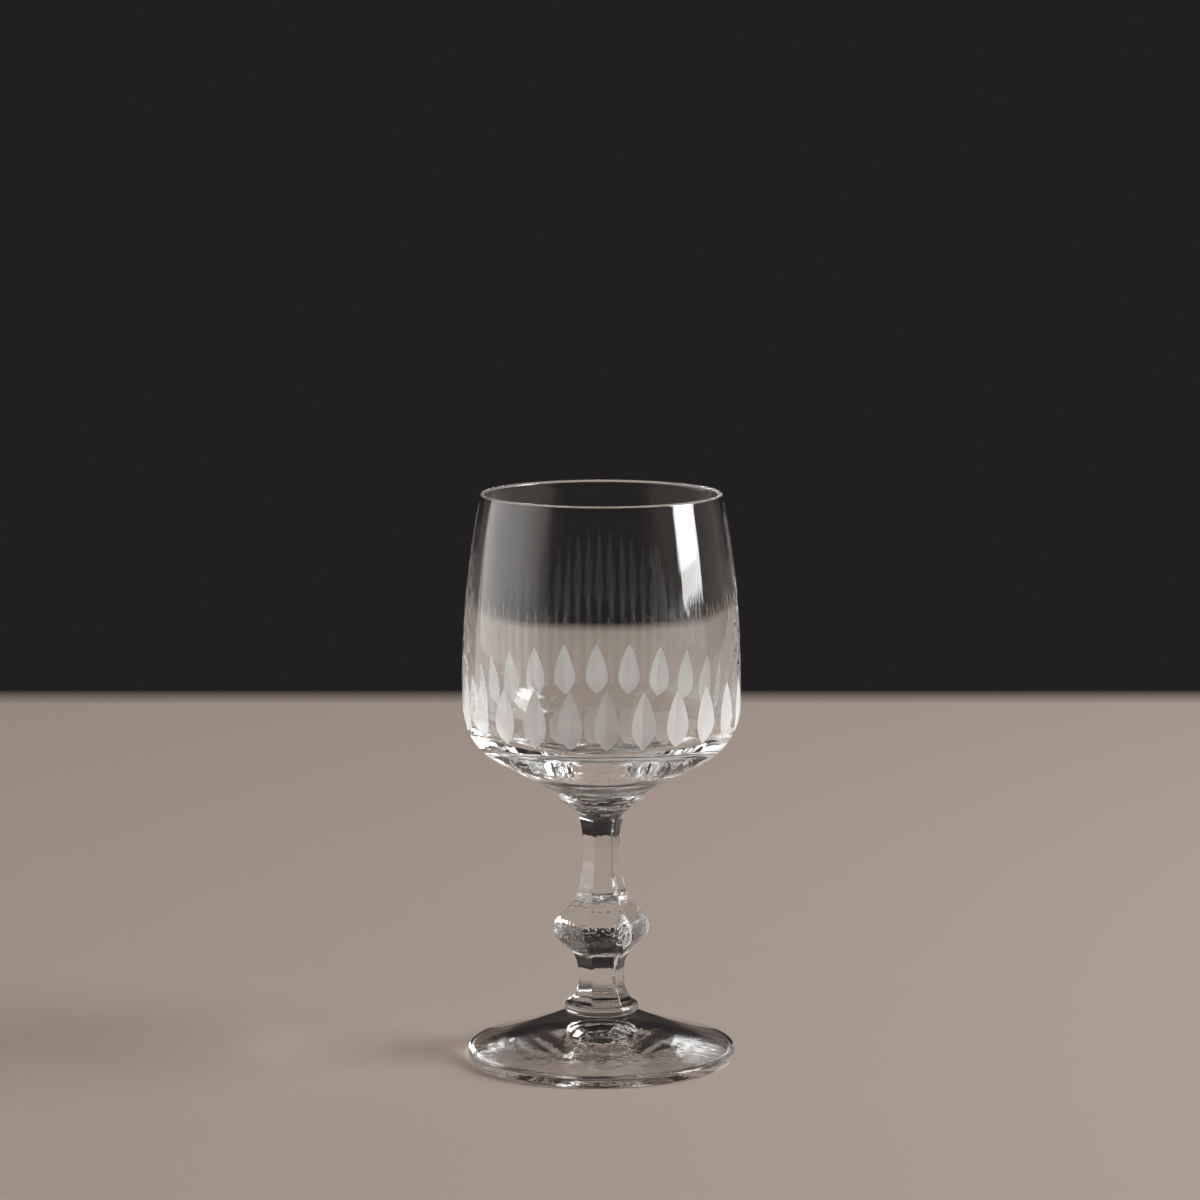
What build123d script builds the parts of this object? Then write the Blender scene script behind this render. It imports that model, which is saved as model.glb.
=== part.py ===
"""Cordial glass: a small cut stem glass made of five hot-joined pieces of clear glass.

Millimetres and degrees, +Z up, standing on the table at z = 0 with its axis on Z.
The front of the glass, where one cut petal nearly faces the viewer, is -Y.
"""
import os
from math import cos, radians, sin, sqrt, tan

from build123d import *

# Foot: a shallow cone with a rounded edge. Inside its narrow resting ring the underside is a hollow,
# flatter cone with a round crown
FOOT_RADIUS = 23.55
FOOT_HEIGHT = 8.1
FOOT_EDGE = 2.0
FOOT_DIP = 0.36
FOOT_TOP_ROUND = 1.1
FOOT_LOW_ROUND = 0.7
FOOT_RING_WIDTH = 0.8
FOOT_HOLLOW_ANGLE = 11.5
FOOT_CROWN_CURVE = 45.0

# Foot collar: the round button of glass between the foot and the stem
FOOT_COLLAR_THICKNESS = 1.8
FOOT_COLLAR_LEDGE = 0.615
FOOT_COLLAR_BULGE = 0.45

# Stem: flats from end to end, with a knop whose corners stand a little proud of the bowl collar.
# Sizes across flats, then the heights between them
STEM_SIDES = 6
STEM_TURN = 9.7
STEM_BASE_FLATS = 9.5
WAIST_FLATS = 7.12
KNOP_FOOT_FLATS = 9.18
KNOP_OVERHANG = 0.78
KNOP_HEAD_FLATS = 8.6
NECK_FLATS = 5.86
RUNOUT_FLATS = 6.74
BASE_TO_WAIST = 4.5
WAIST_TO_KNOP = 4.5
KNOP_LOWER_SLOPE = 2.95
KNOP_BAND = 2.55
KNOP_UPPER_SLOPE = 3.55
KNOP_TO_NECK = 9.65
NECK_TO_RUNOUT = 4.6
RUNOUT_HEIGHT = 1.8
STEM_FLARE = 0.86

# Bowl collar: the cup of glass under the bowl, a rounded band that tapers down to the stem
COLLAR_TAPER_HEIGHT = 1.88
COLLAR_BAND_HEIGHT = 1.55
COLLAR_BAND_STEP = 0.75
COLLAR_BAND_SWELL = 0.16

# Bowl: a cone on the collar, a round shoulder, a straight belt and a wall that closes in to the mouth.
# The inside is widest a little above the belt, where WIDEST_WALL is taken, and has a thick, nearly flat floor
BOWL_SEAT_RADIUS = 7.8
UNDERSIDE_ANGLE = 28.6
SHOULDER_RADIUS = 11.0
BOWL_RADIUS = 24.36
BELT_HEIGHT = 3.0
WALL_HEIGHT = 34.0
MOUTH_RADIUS = 21.1
LIP_WALL = 0.86
WIDEST_WALL = 1.81
WIDEST_RISE = 8.0
INNER_CURVE = 100.0
INNER_CORNER = 5.5
FLOOR_THICKNESS = 7.6
FLOOR_CURVE = 80.0

# Petals: upright mitre cuts round the belt, each ground by the V edge of a wheel
PETAL_COUNT = 24
PETAL_TURN = 2.2
PETAL_DEPTH = 0.9
PETAL_DROP = 2.5
WHEEL_RADIUS = 40.0
WHEEL_ANGLE = 142.5
WHEEL_HALF_WIDTH = 3.0

# The viewer's side of the glass, which the turns are counted from
FRONT = -90.0

# The faces where the pieces are joined: their heights, stacked from the table, and their radii
STEM_STEPS = (BASE_TO_WAIST, WAIST_TO_KNOP, KNOP_LOWER_SLOPE, KNOP_BAND,
              KNOP_UPPER_SLOPE, KNOP_TO_NECK, NECK_TO_RUNOUT, RUNOUT_HEIGHT)
STEM_Z = FOOT_HEIGHT + FOOT_COLLAR_THICKNESS
BOWL_COLLAR_Z = STEM_Z + sum(STEM_STEPS)
BOWL_Z = BOWL_COLLAR_Z + COLLAR_TAPER_HEIGHT + COLLAR_BAND_HEIGHT
CORNER = 1 / cos(radians(180 / STEM_SIDES))
FOOT_COLLAR_RADIUS = STEM_BASE_FLATS / 2 * CORNER + FOOT_COLLAR_LEDGE
STEM_TOP_RADIUS = RUNOUT_FLATS / 2 * CORNER + STEM_FLARE
KNOP_FLATS = 2 * (BOWL_SEAT_RADIUS + KNOP_OVERHANG) / CORNER

# The bowl's outer curve, worked out from its cone, shoulder, belt and wall
SLOPE = radians(UNDERSIDE_ANGLE)
SHOULDER_START = BOWL_RADIUS - SHOULDER_RADIUS * (1 - sin(SLOPE))
SHOULDER_START_Z = BOWL_Z + (SHOULDER_START - BOWL_SEAT_RADIUS) * tan(SLOPE)
BELT_Z = SHOULDER_START_Z + SHOULDER_RADIUS * cos(SLOPE)
BELT_TOP_Z = BELT_Z + BELT_HEIGHT
RIM_Z = BELT_TOP_Z + WALL_HEIGHT

UP = (0, 1)
DOWN = (0, -1)
OUT = (1, 0)


def turned(section):
    """The round solid whose half section is drawn as radius and height."""
    return revolve(Plane.XZ * section, Axis.Z)


def make_foot():
    ring = FOOT_RADIUS - FOOT_LOW_ROUND - FOOT_RING_WIDTH
    slope = radians(FOOT_HOLLOW_ANGLE)
    crown_radius = FOOT_CROWN_CURVE * sin(slope)
    crown_edge = (crown_radius, (ring - crown_radius) * tan(slope))
    crown_z = crown_edge[1] + FOOT_CROWN_CURVE * (1 - cos(slope))
    section = make_face(Curve() + [
        TangentArc((0, crown_z), crown_edge, tangent=OUT),
        Polyline(crown_edge, (ring, 0), (FOOT_RADIUS, 0), (FOOT_RADIUS, FOOT_EDGE)),
        SagittaArc((FOOT_RADIUS, FOOT_EDGE), (FOOT_COLLAR_RADIUS, FOOT_HEIGHT), FOOT_DIP),
        Polyline((FOOT_COLLAR_RADIUS, FOOT_HEIGHT), (0, FOOT_HEIGHT), (0, crown_z)),
    ])
    top_corner = section.vertices().group_by(Axis.X)[-1].sort_by(Axis.Y)[-1]
    section = fillet(top_corner, FOOT_TOP_ROUND)
    low_corner = section.vertices().group_by(Axis.X)[-1].sort_by(Axis.Y)[0]
    section = fillet(low_corner, FOOT_LOW_ROUND)
    return turned(section)


def make_foot_collar():
    base, top = FOOT_HEIGHT, STEM_Z
    widest = FOOT_COLLAR_RADIUS + FOOT_COLLAR_BULGE
    section = make_face(Curve() + [
        Polyline((FOOT_COLLAR_RADIUS, top), (0, top), (0, base), (FOOT_COLLAR_RADIUS, base)),
        ThreePointArc((FOOT_COLLAR_RADIUS, base), (widest, (base + top) / 2), (FOOT_COLLAR_RADIUS, top)),
    ])
    return turned(section)


def stem_points():
    """The corners of the stem's side view: how far its flats stand from the axis, from the bottom up."""
    flats = (STEM_BASE_FLATS, WAIST_FLATS, KNOP_FOOT_FLATS, KNOP_FLATS,
             KNOP_FLATS, KNOP_HEAD_FLATS, NECK_FLATS, RUNOUT_FLATS)
    heights = [STEM_Z + sum(STEM_STEPS[:step]) for step in range(len(flats))]
    return [(across / 2, z) for across, z in zip(flats, heights)]


def stem_flat():
    """A block with the stem's outline on one flat, large enough to reach past the knop elsewhere."""
    base, waist, knop_foot, knop_low, knop_high, knop_head, neck, runout = stem_points()
    top = (STEM_TOP_RADIUS, BOWL_COLLAR_Z)
    neck_arc = TangentArc(neck, runout, tangent=UP)
    side = make_face(Curve() + [
        TangentArc(waist, base, tangent=DOWN),
        TangentArc(waist, knop_foot, tangent=UP),
        Polyline(knop_foot, knop_low, knop_high, knop_head),
        TangentArc(neck, knop_head, tangent=DOWN),
        neck_arc,
        TangentArc(runout, top, tangent=neck_arc % 1),
        Polyline(top, (-KNOP_FLATS, BOWL_COLLAR_Z), (-KNOP_FLATS, STEM_Z), base),
    ])
    return extrude(Plane.XZ * side, KNOP_FLATS, both=True)


def stem_blank():
    """The round blank that the flats are worked into. Only its flared top shows, above the flats."""
    *_, knop_head, _, runout = stem_points()
    flare_start = (runout[0] * CORNER, runout[1])
    top = (STEM_TOP_RADIUS, BOWL_COLLAR_Z)
    return turned(make_face(Curve() + [
        Polyline(top, (0, BOWL_COLLAR_Z), (0, STEM_Z),
                 (KNOP_FLATS, STEM_Z), (KNOP_FLATS, knop_head[1]), flare_start),
        TangentArc(flare_start, top, tangent=UP),
    ]))


def make_stem():
    stem = stem_blank()
    flat = stem_flat()
    for side in range(STEM_SIDES):
        stem = stem & Rot(0, 0, side * 360 / STEM_SIDES) * flat
    return Rot(0, 0, FRONT + STEM_TURN) * stem


def make_bowl_collar():
    band_base = BOWL_COLLAR_Z + COLLAR_TAPER_HEIGHT
    band_radius = BOWL_SEAT_RADIUS - COLLAR_BAND_STEP
    section = make_face(Curve() + [
        Polyline((BOWL_SEAT_RADIUS, BOWL_Z), (0, BOWL_Z), (0, BOWL_COLLAR_Z),
                 (STEM_TOP_RADIUS, BOWL_COLLAR_Z), (band_radius, band_base)),
        SagittaArc((band_radius, band_base), (BOWL_SEAT_RADIUS, BOWL_Z), -COLLAR_BAND_SWELL),
    ])
    return turned(section)


def between_circles(first, first_reach, second, second_reach):
    """The point, on the outer side, that is each reach away from its own centre."""
    apart = second - first
    along = apart.normalized()
    run = (apart.length**2 + first_reach**2 - second_reach**2) / (2 * apart.length)
    aside = sqrt(first_reach**2 - run**2)
    return first + along * run + Vector(along.Y, -along.X) * aside


def bowl_section():
    """The bowl's half section: outside from the seat up, over the round lip and down the inside."""
    belt = (BOWL_RADIUS, BELT_Z)
    belt_top = (BOWL_RADIUS, BELT_TOP_Z)
    lip_z = RIM_Z - LIP_WALL / 2
    lip_out = (MOUTH_RADIUS, lip_z)
    lip_top = (MOUTH_RADIUS - LIP_WALL / 2, RIM_Z)
    lip_in = (MOUTH_RADIUS - LIP_WALL, lip_z)

    # inside, the round corner touches the wall's arc and the floor's arc on the lines through their centres
    widest = Vector(BOWL_RADIUS - WIDEST_WALL, BELT_TOP_Z + WIDEST_RISE)
    floor = Vector(0, BOWL_Z + FLOOR_THICKNESS)
    wall_centre = widest - Vector(INNER_CURVE, 0)
    floor_centre = floor + Vector(0, FLOOR_CURVE)
    corner = between_circles(wall_centre, INNER_CURVE - INNER_CORNER,
                             floor_centre, FLOOR_CURVE - INNER_CORNER)
    wall_end = corner + (corner - wall_centre).normalized() * INNER_CORNER
    floor_end = corner + (corner - floor_centre).normalized() * INNER_CORNER

    cone = Line((BOWL_SEAT_RADIUS, BOWL_Z), (SHOULDER_START, SHOULDER_START_Z))
    lower_wall = TangentArc(widest, wall_end, tangent=DOWN)
    return make_face(Curve() + [
        cone,
        TangentArc(cone @ 1, belt, tangent=cone % 1),
        Line(belt, belt_top),
        TangentArc(belt_top, lip_out, tangent=UP),
        ThreePointArc(lip_out, lip_top, lip_in),
        TangentArc(widest, lip_in, tangent=UP),
        lower_wall,
        TangentArc(wall_end, floor_end, tangent=lower_wall % 1),
        TangentArc(floor, floor_end, tangent=OUT),
        Polyline(floor, (0, BOWL_Z), (BOWL_SEAT_RADIUS, BOWL_Z)),
    ])


def petal_wheels():
    """The grinding wheel at each petal, standing upright with its V edge sunk into the belt."""
    side_radius = WHEEL_RADIUS - WHEEL_HALF_WIDTH / tan(radians(WHEEL_ANGLE / 2))
    half = Cone(WHEEL_RADIUS, side_radius, WHEEL_HALF_WIDTH, align=(Align.CENTER, Align.CENTER, Align.MIN))
    wheel = half + mirror(half, Plane.XY)
    wheel_x = BOWL_RADIUS - PETAL_DEPTH + WHEEL_RADIUS
    placed = Pos(wheel_x, 0, BELT_Z - PETAL_DROP) * Rot(90, 0, 0) * wheel
    turns = [FRONT + PETAL_TURN + petal * 360 / PETAL_COUNT for petal in range(PETAL_COUNT)]
    return [Rot(0, 0, turn) * placed for turn in turns]


def make_bowl():
    return turned(bowl_section()) - petal_wheels()


def main():
    pieces = {
        "foot": make_foot(),
        "foot_collar": make_foot_collar(),
        "stem": make_stem(),
        "bowl_collar": make_bowl_collar(),
        "bowl": make_bowl(),
    }
    os.makedirs("parts", exist_ok=True)
    for name, piece in pieces.items():
        piece.label = name
        export_step(piece, f"parts/{name}.step")
        print(name, "volume", round(piece.volume, 1), "solids", len(piece.solids()), "valid", piece.is_valid)
    print("height", round(RIM_Z, 2))


main()
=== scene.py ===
# %% [markdown]
# # A cut cordial glass
#
# This lesson dresses the CAD model of a small stem glass. The glass is five pieces of clear glass
# that were joined while hot: a foot, a button on the foot, a six-sided stem, a cup and a bowl.
# Clear glass shows every facet of a coarse mesh, so each piece is built again here from the same
# sizes, finer and with softened edges.
#
# The frame is loaded first. Each of its pieces is hidden once it has been built again.

# %% Load the frame
from math import asin, atan2, cos, pi, radians, sin, sqrt, tan

import bmesh
import bpy
import numpy as np
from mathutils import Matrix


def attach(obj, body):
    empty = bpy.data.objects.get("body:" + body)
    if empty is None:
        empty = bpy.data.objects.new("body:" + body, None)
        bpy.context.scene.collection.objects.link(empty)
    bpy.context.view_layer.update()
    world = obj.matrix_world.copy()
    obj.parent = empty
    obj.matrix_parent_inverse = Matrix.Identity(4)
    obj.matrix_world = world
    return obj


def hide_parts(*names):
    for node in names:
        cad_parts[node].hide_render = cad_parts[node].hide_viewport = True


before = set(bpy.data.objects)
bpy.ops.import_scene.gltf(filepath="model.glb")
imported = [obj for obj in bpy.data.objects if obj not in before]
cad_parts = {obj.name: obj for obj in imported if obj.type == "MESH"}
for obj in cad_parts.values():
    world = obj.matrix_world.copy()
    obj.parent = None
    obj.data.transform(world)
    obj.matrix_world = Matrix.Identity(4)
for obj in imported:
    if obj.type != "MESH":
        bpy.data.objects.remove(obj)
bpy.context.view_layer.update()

MM = 0.001
print("nodes:", sorted(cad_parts))

# %% [markdown]
# ## Drawing half sections
#
# Round pieces are drawn as a half section: points of radius and height, in millimetres. Three
# helpers draw it. `arc` leaves a point in a given direction and ends at another point, `line` is
# straight, and `soften` joins paths with small curves, as fire-polishing does to every edge of
# the real glass.

# %% Helpers for half sections
UP, DOWN, OUT = (0.0, 1.0), (0.0, -1.0), (1.0, 0.0)
CLOSEST_POINTS = 0.01


def line(start, end, steps):
    return np.linspace(start, end, steps + 1)


def arc(start, end, leaving, steps):
    """Points of the circle that leaves start in the direction leaving and passes through end."""
    start, end, ahead = (np.array(p, float) for p in (start, end, leaving))
    ahead /= np.linalg.norm(ahead)
    aside = np.array((-ahead[1], ahead[0]))
    chord = end - start
    centre = start + aside * (chord @ chord) / (2 * (aside @ chord))
    angles = np.linspace(0, 2 * atan2(aside @ chord, ahead @ chord), steps + 1)
    x, z = start - centre
    return centre + np.stack([x * np.cos(angles) - z * np.sin(angles),
                              x * np.sin(angles) + z * np.cos(angles)], axis=1)


def arrival(path):
    """The direction in which a path ends."""
    return path[-1] - path[-2]


def part_of(path, skip_start, skip_end):
    """The path without its first and last few millimetres."""
    run = np.concatenate([[0], np.cumsum(np.linalg.norm(np.diff(path, axis=0), axis=1))])
    low, high = skip_start, run[-1] - skip_end
    kept = (run > low + CLOSEST_POINTS) & (run < high - CLOSEST_POINTS)
    stops = np.concatenate([[low], run[kept], [high]])
    return np.stack([np.interp(stops, run, path[:, axis]) for axis in (0, 1)], axis=1)


def soften(paths, reaches, steps):
    """Joins paths end to end and rounds the joins.

    At each join both sides stop short by a reach, and a small curve goes round the corner.
    """
    ends = [0.0, *reaches, 0.0]
    whole = []
    for index, path in enumerate(paths):
        trimmed = part_of(path, ends[index], ends[index + 1])
        rounded = index > 0 and reaches[index - 1] > 0
        if rounded:
            before, corner, after = whole[-1][-1], path[0], trimmed[0]
            share = np.linspace(0, 1, steps + 1)[1:-1, None]
            whole.append((1 - share) ** 2 * before + 2 * share * (1 - share) * corner
                         + share**2 * after)
        whole.append(trimmed if rounded or index == 0 else trimmed[1:])
    return np.concatenate(whole)


print("helpers ready: line, arc, soften")

# %% [markdown]
# ## One wedge, repeated round the axis
#
# Every piece repeats round the axis: the bowl once for each cut petal, the stem once for each
# flat, and the round pieces as often as we like. So each piece is modelled as one narrow wedge of
# skin, and Geometry Nodes turn and weld the copies into a closed solid. The same tree serves all
# five pieces. Its inputs are the number of copies, the turn of the first one, the welding
# distance and three finishes: for the skin, for worked and for fused faces.
#
# The wedge carries two face attributes. `worked` marks faces that a tool shaped last, such as the
# ground cuts, and `fused` marks faces where two pieces touch. There the real glass has no surface
# at all, so those faces get a finish that light passes straight through.

# %% The tree that repeats a wedge
TREE_INPUTS = {"Wedge": "Geometry", "Copies": "Int", "First turn": "Float", "Weld": "Float",
               "Skin": "Material", "Worked": "Material", "Fused": "Material"}
FINISH_MARKS = {"Skin": None, "Worked": "worked", "Fused": "fused"}


def repeat_tree():
    tree = bpy.data.node_groups.new("repeat_round_the_axis", "GeometryNodeTree")
    sockets = tree.interface
    sockets.new_socket("Geometry", in_out="OUTPUT", socket_type="NodeSocketGeometry")
    for name, kind in TREE_INPUTS.items():
        sockets.new_socket(name, in_out="INPUT", socket_type="NodeSocket" + kind)

    def node(kind, **settings):
        made = tree.nodes.new(kind)
        for name, value in settings.items():
            setattr(made, name, value)
        return made

    def link(source, target):
        tree.links.new(source, target)

    given = node("NodeGroupInput")
    points = node("GeometryNodePoints")
    link(given.outputs["Copies"], points.inputs["Count"])
    pitch = node("ShaderNodeMath", operation="DIVIDE")
    pitch.inputs[0].default_value = 2 * pi
    link(given.outputs["Copies"], pitch.inputs[1])
    angle = node("ShaderNodeMath", operation="MULTIPLY_ADD")
    link(node("GeometryNodeInputIndex").outputs["Index"], angle.inputs[0])
    link(pitch.outputs[0], angle.inputs[1])
    link(given.outputs["First turn"], angle.inputs[2])
    turn = node("FunctionNodeAxisAngleToRotation")
    turn.inputs["Axis"].default_value = (0, 0, 1)
    link(angle.outputs[0], turn.inputs["Angle"])

    copies = node("GeometryNodeInstanceOnPoints")
    link(points.outputs[0], copies.inputs["Points"])
    link(given.outputs["Wedge"], copies.inputs["Instance"])
    link(turn.outputs[0], copies.inputs["Rotation"])
    real = node("GeometryNodeRealizeInstances")
    link(copies.outputs[0], real.inputs[0])
    weld = node("GeometryNodeMergeByDistance")
    link(real.outputs[0], weld.inputs["Geometry"])
    link(given.outputs["Weld"], weld.inputs["Distance"])
    smooth = node("GeometryNodeSetShadeSmooth")
    link(weld.outputs[0], smooth.inputs["Geometry"])

    last = smooth.outputs[0]
    for finish, mark in FINISH_MARKS.items():
        paint = node("GeometryNodeSetMaterial")
        link(last, paint.inputs["Geometry"])
        link(given.outputs[finish], paint.inputs["Material"])
        if mark:
            where = node("GeometryNodeInputNamedAttribute", data_type="BOOLEAN")
            where.inputs["Name"].default_value = mark
            link(where.outputs["Attribute"], paint.inputs["Selection"])
        last = paint.outputs[0]
    link(last, node("NodeGroupOutput").inputs[0])
    return tree


REPEAT = repeat_tree()
REPEAT_INPUTS = {item.name: item.identifier
                 for item in REPEAT.interface.items_tree if item.in_out == "INPUT"}
print("tree:", REPEAT.name, "inputs:", list(REPEAT_INPUTS))

# %% [markdown]
# ## Nodes of a finish
#
# All finishes are Principled shaders whose surface is disturbed a little by noise. The noise lies
# on the piece's own coordinates, so it stays in place from every side, and a Mapping node
# stretches it into streaks or rings. Its scale is the number of its cells to the metre. A finish
# needs many nodes of the same few kinds, so each kind gets a helper that adds one node, links it
# and returns its output.

# %% Helpers for nodes
def new_finish(name, **constants):
    """A material with its node tree and Principled shader, whose sockets get the constants."""
    finish = bpy.data.materials.new(name)
    finish.use_nodes = True
    shader = finish.node_tree.nodes["Principled BSDF"]
    for socket, value in constants.items():
        shader.inputs[socket.replace("_", " ")].default_value = value
    return finish, finish.node_tree, shader


def place_on(tree):
    return tree.nodes.new("ShaderNodeTexCoord").outputs["Object"]


def noise_on(tree, scale, stretch, detail):
    mapping = tree.nodes.new("ShaderNodeMapping")
    mapping.inputs["Scale"].default_value = stretch
    noise = tree.nodes.new("ShaderNodeTexNoise")
    noise.inputs["Scale"].default_value = scale
    noise.inputs["Detail"].default_value = detail
    tree.links.new(place_on(tree), mapping.inputs["Vector"])
    tree.links.new(mapping.outputs["Vector"], noise.inputs["Vector"])
    return noise.outputs["Fac"]


def between(tree, value, low, high, to_low=0.0, to_high=1.0):
    """A value from low to high, brought to another range and held at its ends."""
    remap = tree.nodes.new("ShaderNodeMapRange")
    ends = {"From Min": low, "From Max": high, "To Min": to_low, "To Max": to_high}
    for socket, number in ends.items():
        remap.inputs[socket].default_value = number
    tree.links.new(value, remap.inputs["Value"])
    return remap.outputs["Result"]


def math_on(tree, operation, first, second):
    both = tree.nodes.new("ShaderNodeMath")
    both.operation = operation
    tree.links.new(first, both.inputs[0])
    tree.links.new(second, both.inputs[1])
    return both.outputs[0]


def vector_on(tree, operation, first, second=None, socket=1):
    step = tree.nodes.new("ShaderNodeVectorMath")
    step.operation = operation
    tree.links.new(first, step.inputs[0])
    if second is not None:
        tree.links.new(second, step.inputs[socket])
    return step.outputs[0]


NOISE_LOW, NOISE_HIGH = 0.3, 0.7
print("nearly all noise lies from", NOISE_LOW, "to", NOISE_HIGH)

# %% [markdown]
# ## Bumps and bands
#
# A Bump node shades a smooth surface as if it had small hills. The marks of the tools lie only at
# some heights of the glass, so a band keeps a noise to them. Bumps and bands are given in
# millimetres. In glass, light also meets each face from inside, where a normal has to point the
# other way, so one more helper tells the two sides apart.

# %% Helpers for bumps and bands
def height_band(tree, low, high, fade):
    """1 between two heights, and 0 beyond a fade on each side."""
    split = tree.nodes.new("ShaderNodeSeparateXYZ")
    tree.links.new(place_on(tree), split.inputs[0])
    height = split.outputs["Z"]
    above = between(tree, height, (low - fade) * MM, low * MM)
    below = between(tree, height, high * MM, (high + fade) * MM, to_low=1.0, to_high=0.0)
    return math_on(tree, "MULTIPLY", above, below)


def only_at(tree, value, heights):
    return math_on(tree, "MULTIPLY", value, height_band(tree, **heights))


def bump_on(tree, height, depth, normal=None):
    """A bump so deep for a height from 0 to 1, on top of another normal where one is given."""
    bump = tree.nodes.new("ShaderNodeBump")
    bump.inputs["Distance"].default_value = depth * MM
    tree.links.new(height, bump.inputs["Height"])
    if normal is not None:
        tree.links.new(normal, bump.inputs["Normal"])
    return bump.outputs["Normal"]


def outer_or_inner(tree):
    """1 where light meets a face from outside, and -1 where it meets it from inside the glass."""
    inner = tree.nodes.new("ShaderNodeNewGeometry").outputs["Backfacing"]
    return between(tree, inner, 0.0, 1.0, to_low=1.0, to_high=-1.0)


print("helpers ready: height_band, only_at, bump_on, outer_or_inner")

# %% [markdown]
# ## Polished glass
#
# Polished glass is a Principled shader with full transmission and no roughness. Blown glass is
# never perfectly flat, so a very weak bump makes the surface swim a little. In the upper half of
# the bowl the mould left upright streaks, about a thousandth of a millimetre high. Each streak
# also leans a little up or down, which combs the lower end of the reflections there. A bump can't
# lean the surface without much steeper sides, so that part turns the normal itself. Under the
# bowl, where it was joined to the cup, the tool left rings.

# %% Polished glass
GLASS_IOR = 1.52
CLEAR = {"Base_Color": (0.985, 0.995, 0.99, 1), "IOR": GLASS_IOR, "Roughness": 0.0,
         "Transmission_Weight": 1.0}
STREAK_HEIGHTS = {"low": 79.0, "high": 84.0, "fade": 7.0}
COMB_HEIGHTS = {"low": 81.4, "high": 86.0, "fade": 1.0}
COMB_LEAN = 0.014
SEAT_RING_HEIGHTS = {"low": 47.7, "high": 50.0, "fade": 0.6}


def leaning(tree, normal, lean):
    """A normal that leans up or down by a share of the height's direction."""
    upward = tree.nodes.new("ShaderNodeCombineXYZ")
    tree.links.new(math_on(tree, "MULTIPLY", lean, outer_or_inner(tree)), upward.inputs["Z"])
    return vector_on(tree, "NORMALIZE", vector_on(tree, "ADD", normal, upward.outputs[0]))


def polished_glass():
    finish, tree, shader = new_finish("polished_glass", **CLEAR)
    swim = noise_on(tree, scale=140.0, stretch=(1, 1, 0.35), detail=1.0)
    normal = bump_on(tree, swim, depth=0.04)
    streaks = noise_on(tree, scale=2600.0, stretch=(1, 1, 0.04), detail=2.0)
    normal = bump_on(tree, only_at(tree, streaks, STREAK_HEIGHTS), depth=0.0018, normal=normal)
    rings = noise_on(tree, scale=1000.0, stretch=(0.06, 0.06, 1), detail=1.0)
    normal = bump_on(tree, only_at(tree, rings, SEAT_RING_HEIGHTS), depth=0.4, normal=normal)
    comb = noise_on(tree, scale=2600.0, stretch=(1, 1, 0), detail=2.0)
    comb = between(tree, comb, NOISE_LOW, NOISE_HIGH, -COMB_LEAN, COMB_LEAN)
    normal = leaning(tree, normal, only_at(tree, comb, COMB_HEIGHTS))
    tree.links.new(normal, shader.inputs["Normal"])
    return finish


POLISHED = polished_glass()
print("finish:", POLISHED.name, "with", len(POLISHED.node_tree.nodes), "nodes")

# %% [markdown]
# ## Pressed glass
#
# The stem, the two collars and the underside of the foot were pressed, and keep the skin of the
# mould: a fine orange peel that breaks up their reflections. It is strongest on the belt of the
# knop, weaker on the cup under the bowl and weakest elsewhere. The cup also has tool rings like
# those of the bowl above it, only finer.

# %% Pressed glass
BELT_HEIGHTS = {"low": 21.5, "high": 24.5, "fade": 0.5}
CUP_HEIGHTS = {"low": 43.0, "high": 47.0, "fade": 1.0}
CUP_RING_HEIGHTS = {"low": 44.6, "high": 47.2, "fade": 0.4}
PEEL_ON_CUP, PEEL_ELSEWHERE = 0.12, 0.035


def pressed_glass():
    finish, tree, shader = new_finish("pressed_glass", **CLEAR)
    swim = noise_on(tree, scale=500.0, stretch=(1, 1, 0.6), detail=1.0)
    normal = bump_on(tree, swim, depth=0.03)
    cup = height_band(tree, **CUP_HEIGHTS)
    off_belt = between(tree, cup, 0.0, 1.0, PEEL_ELSEWHERE, PEEL_ON_CUP)
    strength = math_on(tree, "MAXIMUM", height_band(tree, **BELT_HEIGHTS), off_belt)
    peel = noise_on(tree, scale=1900.0, stretch=(1, 1, 1), detail=0.0)
    normal = bump_on(tree, math_on(tree, "MULTIPLY", peel, strength), depth=0.3, normal=normal)
    rings = noise_on(tree, scale=1500.0, stretch=(0.2, 0.2, 1), detail=1.0)
    normal = bump_on(tree, only_at(tree, rings, CUP_RING_HEIGHTS), depth=0.6, normal=normal)
    tree.links.new(normal, shader.inputs["Normal"])
    return finish


PRESSED = pressed_glass()
print("finish:", PRESSED.name, "with", len(PRESSED.node_tree.nodes), "nodes")

# %% [markdown]
# ## Ground and fused glass
#
# The ground cuts scatter light. They pass more than half of it, blurred, and return the rest as a
# soft white. The wheel leaves fine lines along each petal, so a noise that is stretched along the
# height drives both the bump and the roughness. Ground glass shades its two faces more evenly
# than a smooth facet would, because its grains face every way, so the direction of its surface is
# turned part of the way towards the round bowl. A Mix node does that. It has sockets for numbers,
# vectors and colours under the same names, so those for vectors are picked by their places.
#
# The fused finish has the refractive index of whatever surrounds it, so it neither bends nor
# mirrors light.

# %% Ground and fused glass
GROUND_TONE = (0.98, 0.975, 0.97, 1)
GROUND_TRANSMISSION = 0.75
GROUND_SMOOTHEST, GROUND_ROUGHEST = 0.6, 0.8
GROUND_ROUNDING = 0.55
VECTOR_A, VECTOR_B, VECTOR_RESULT = 4, 5, 1


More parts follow.
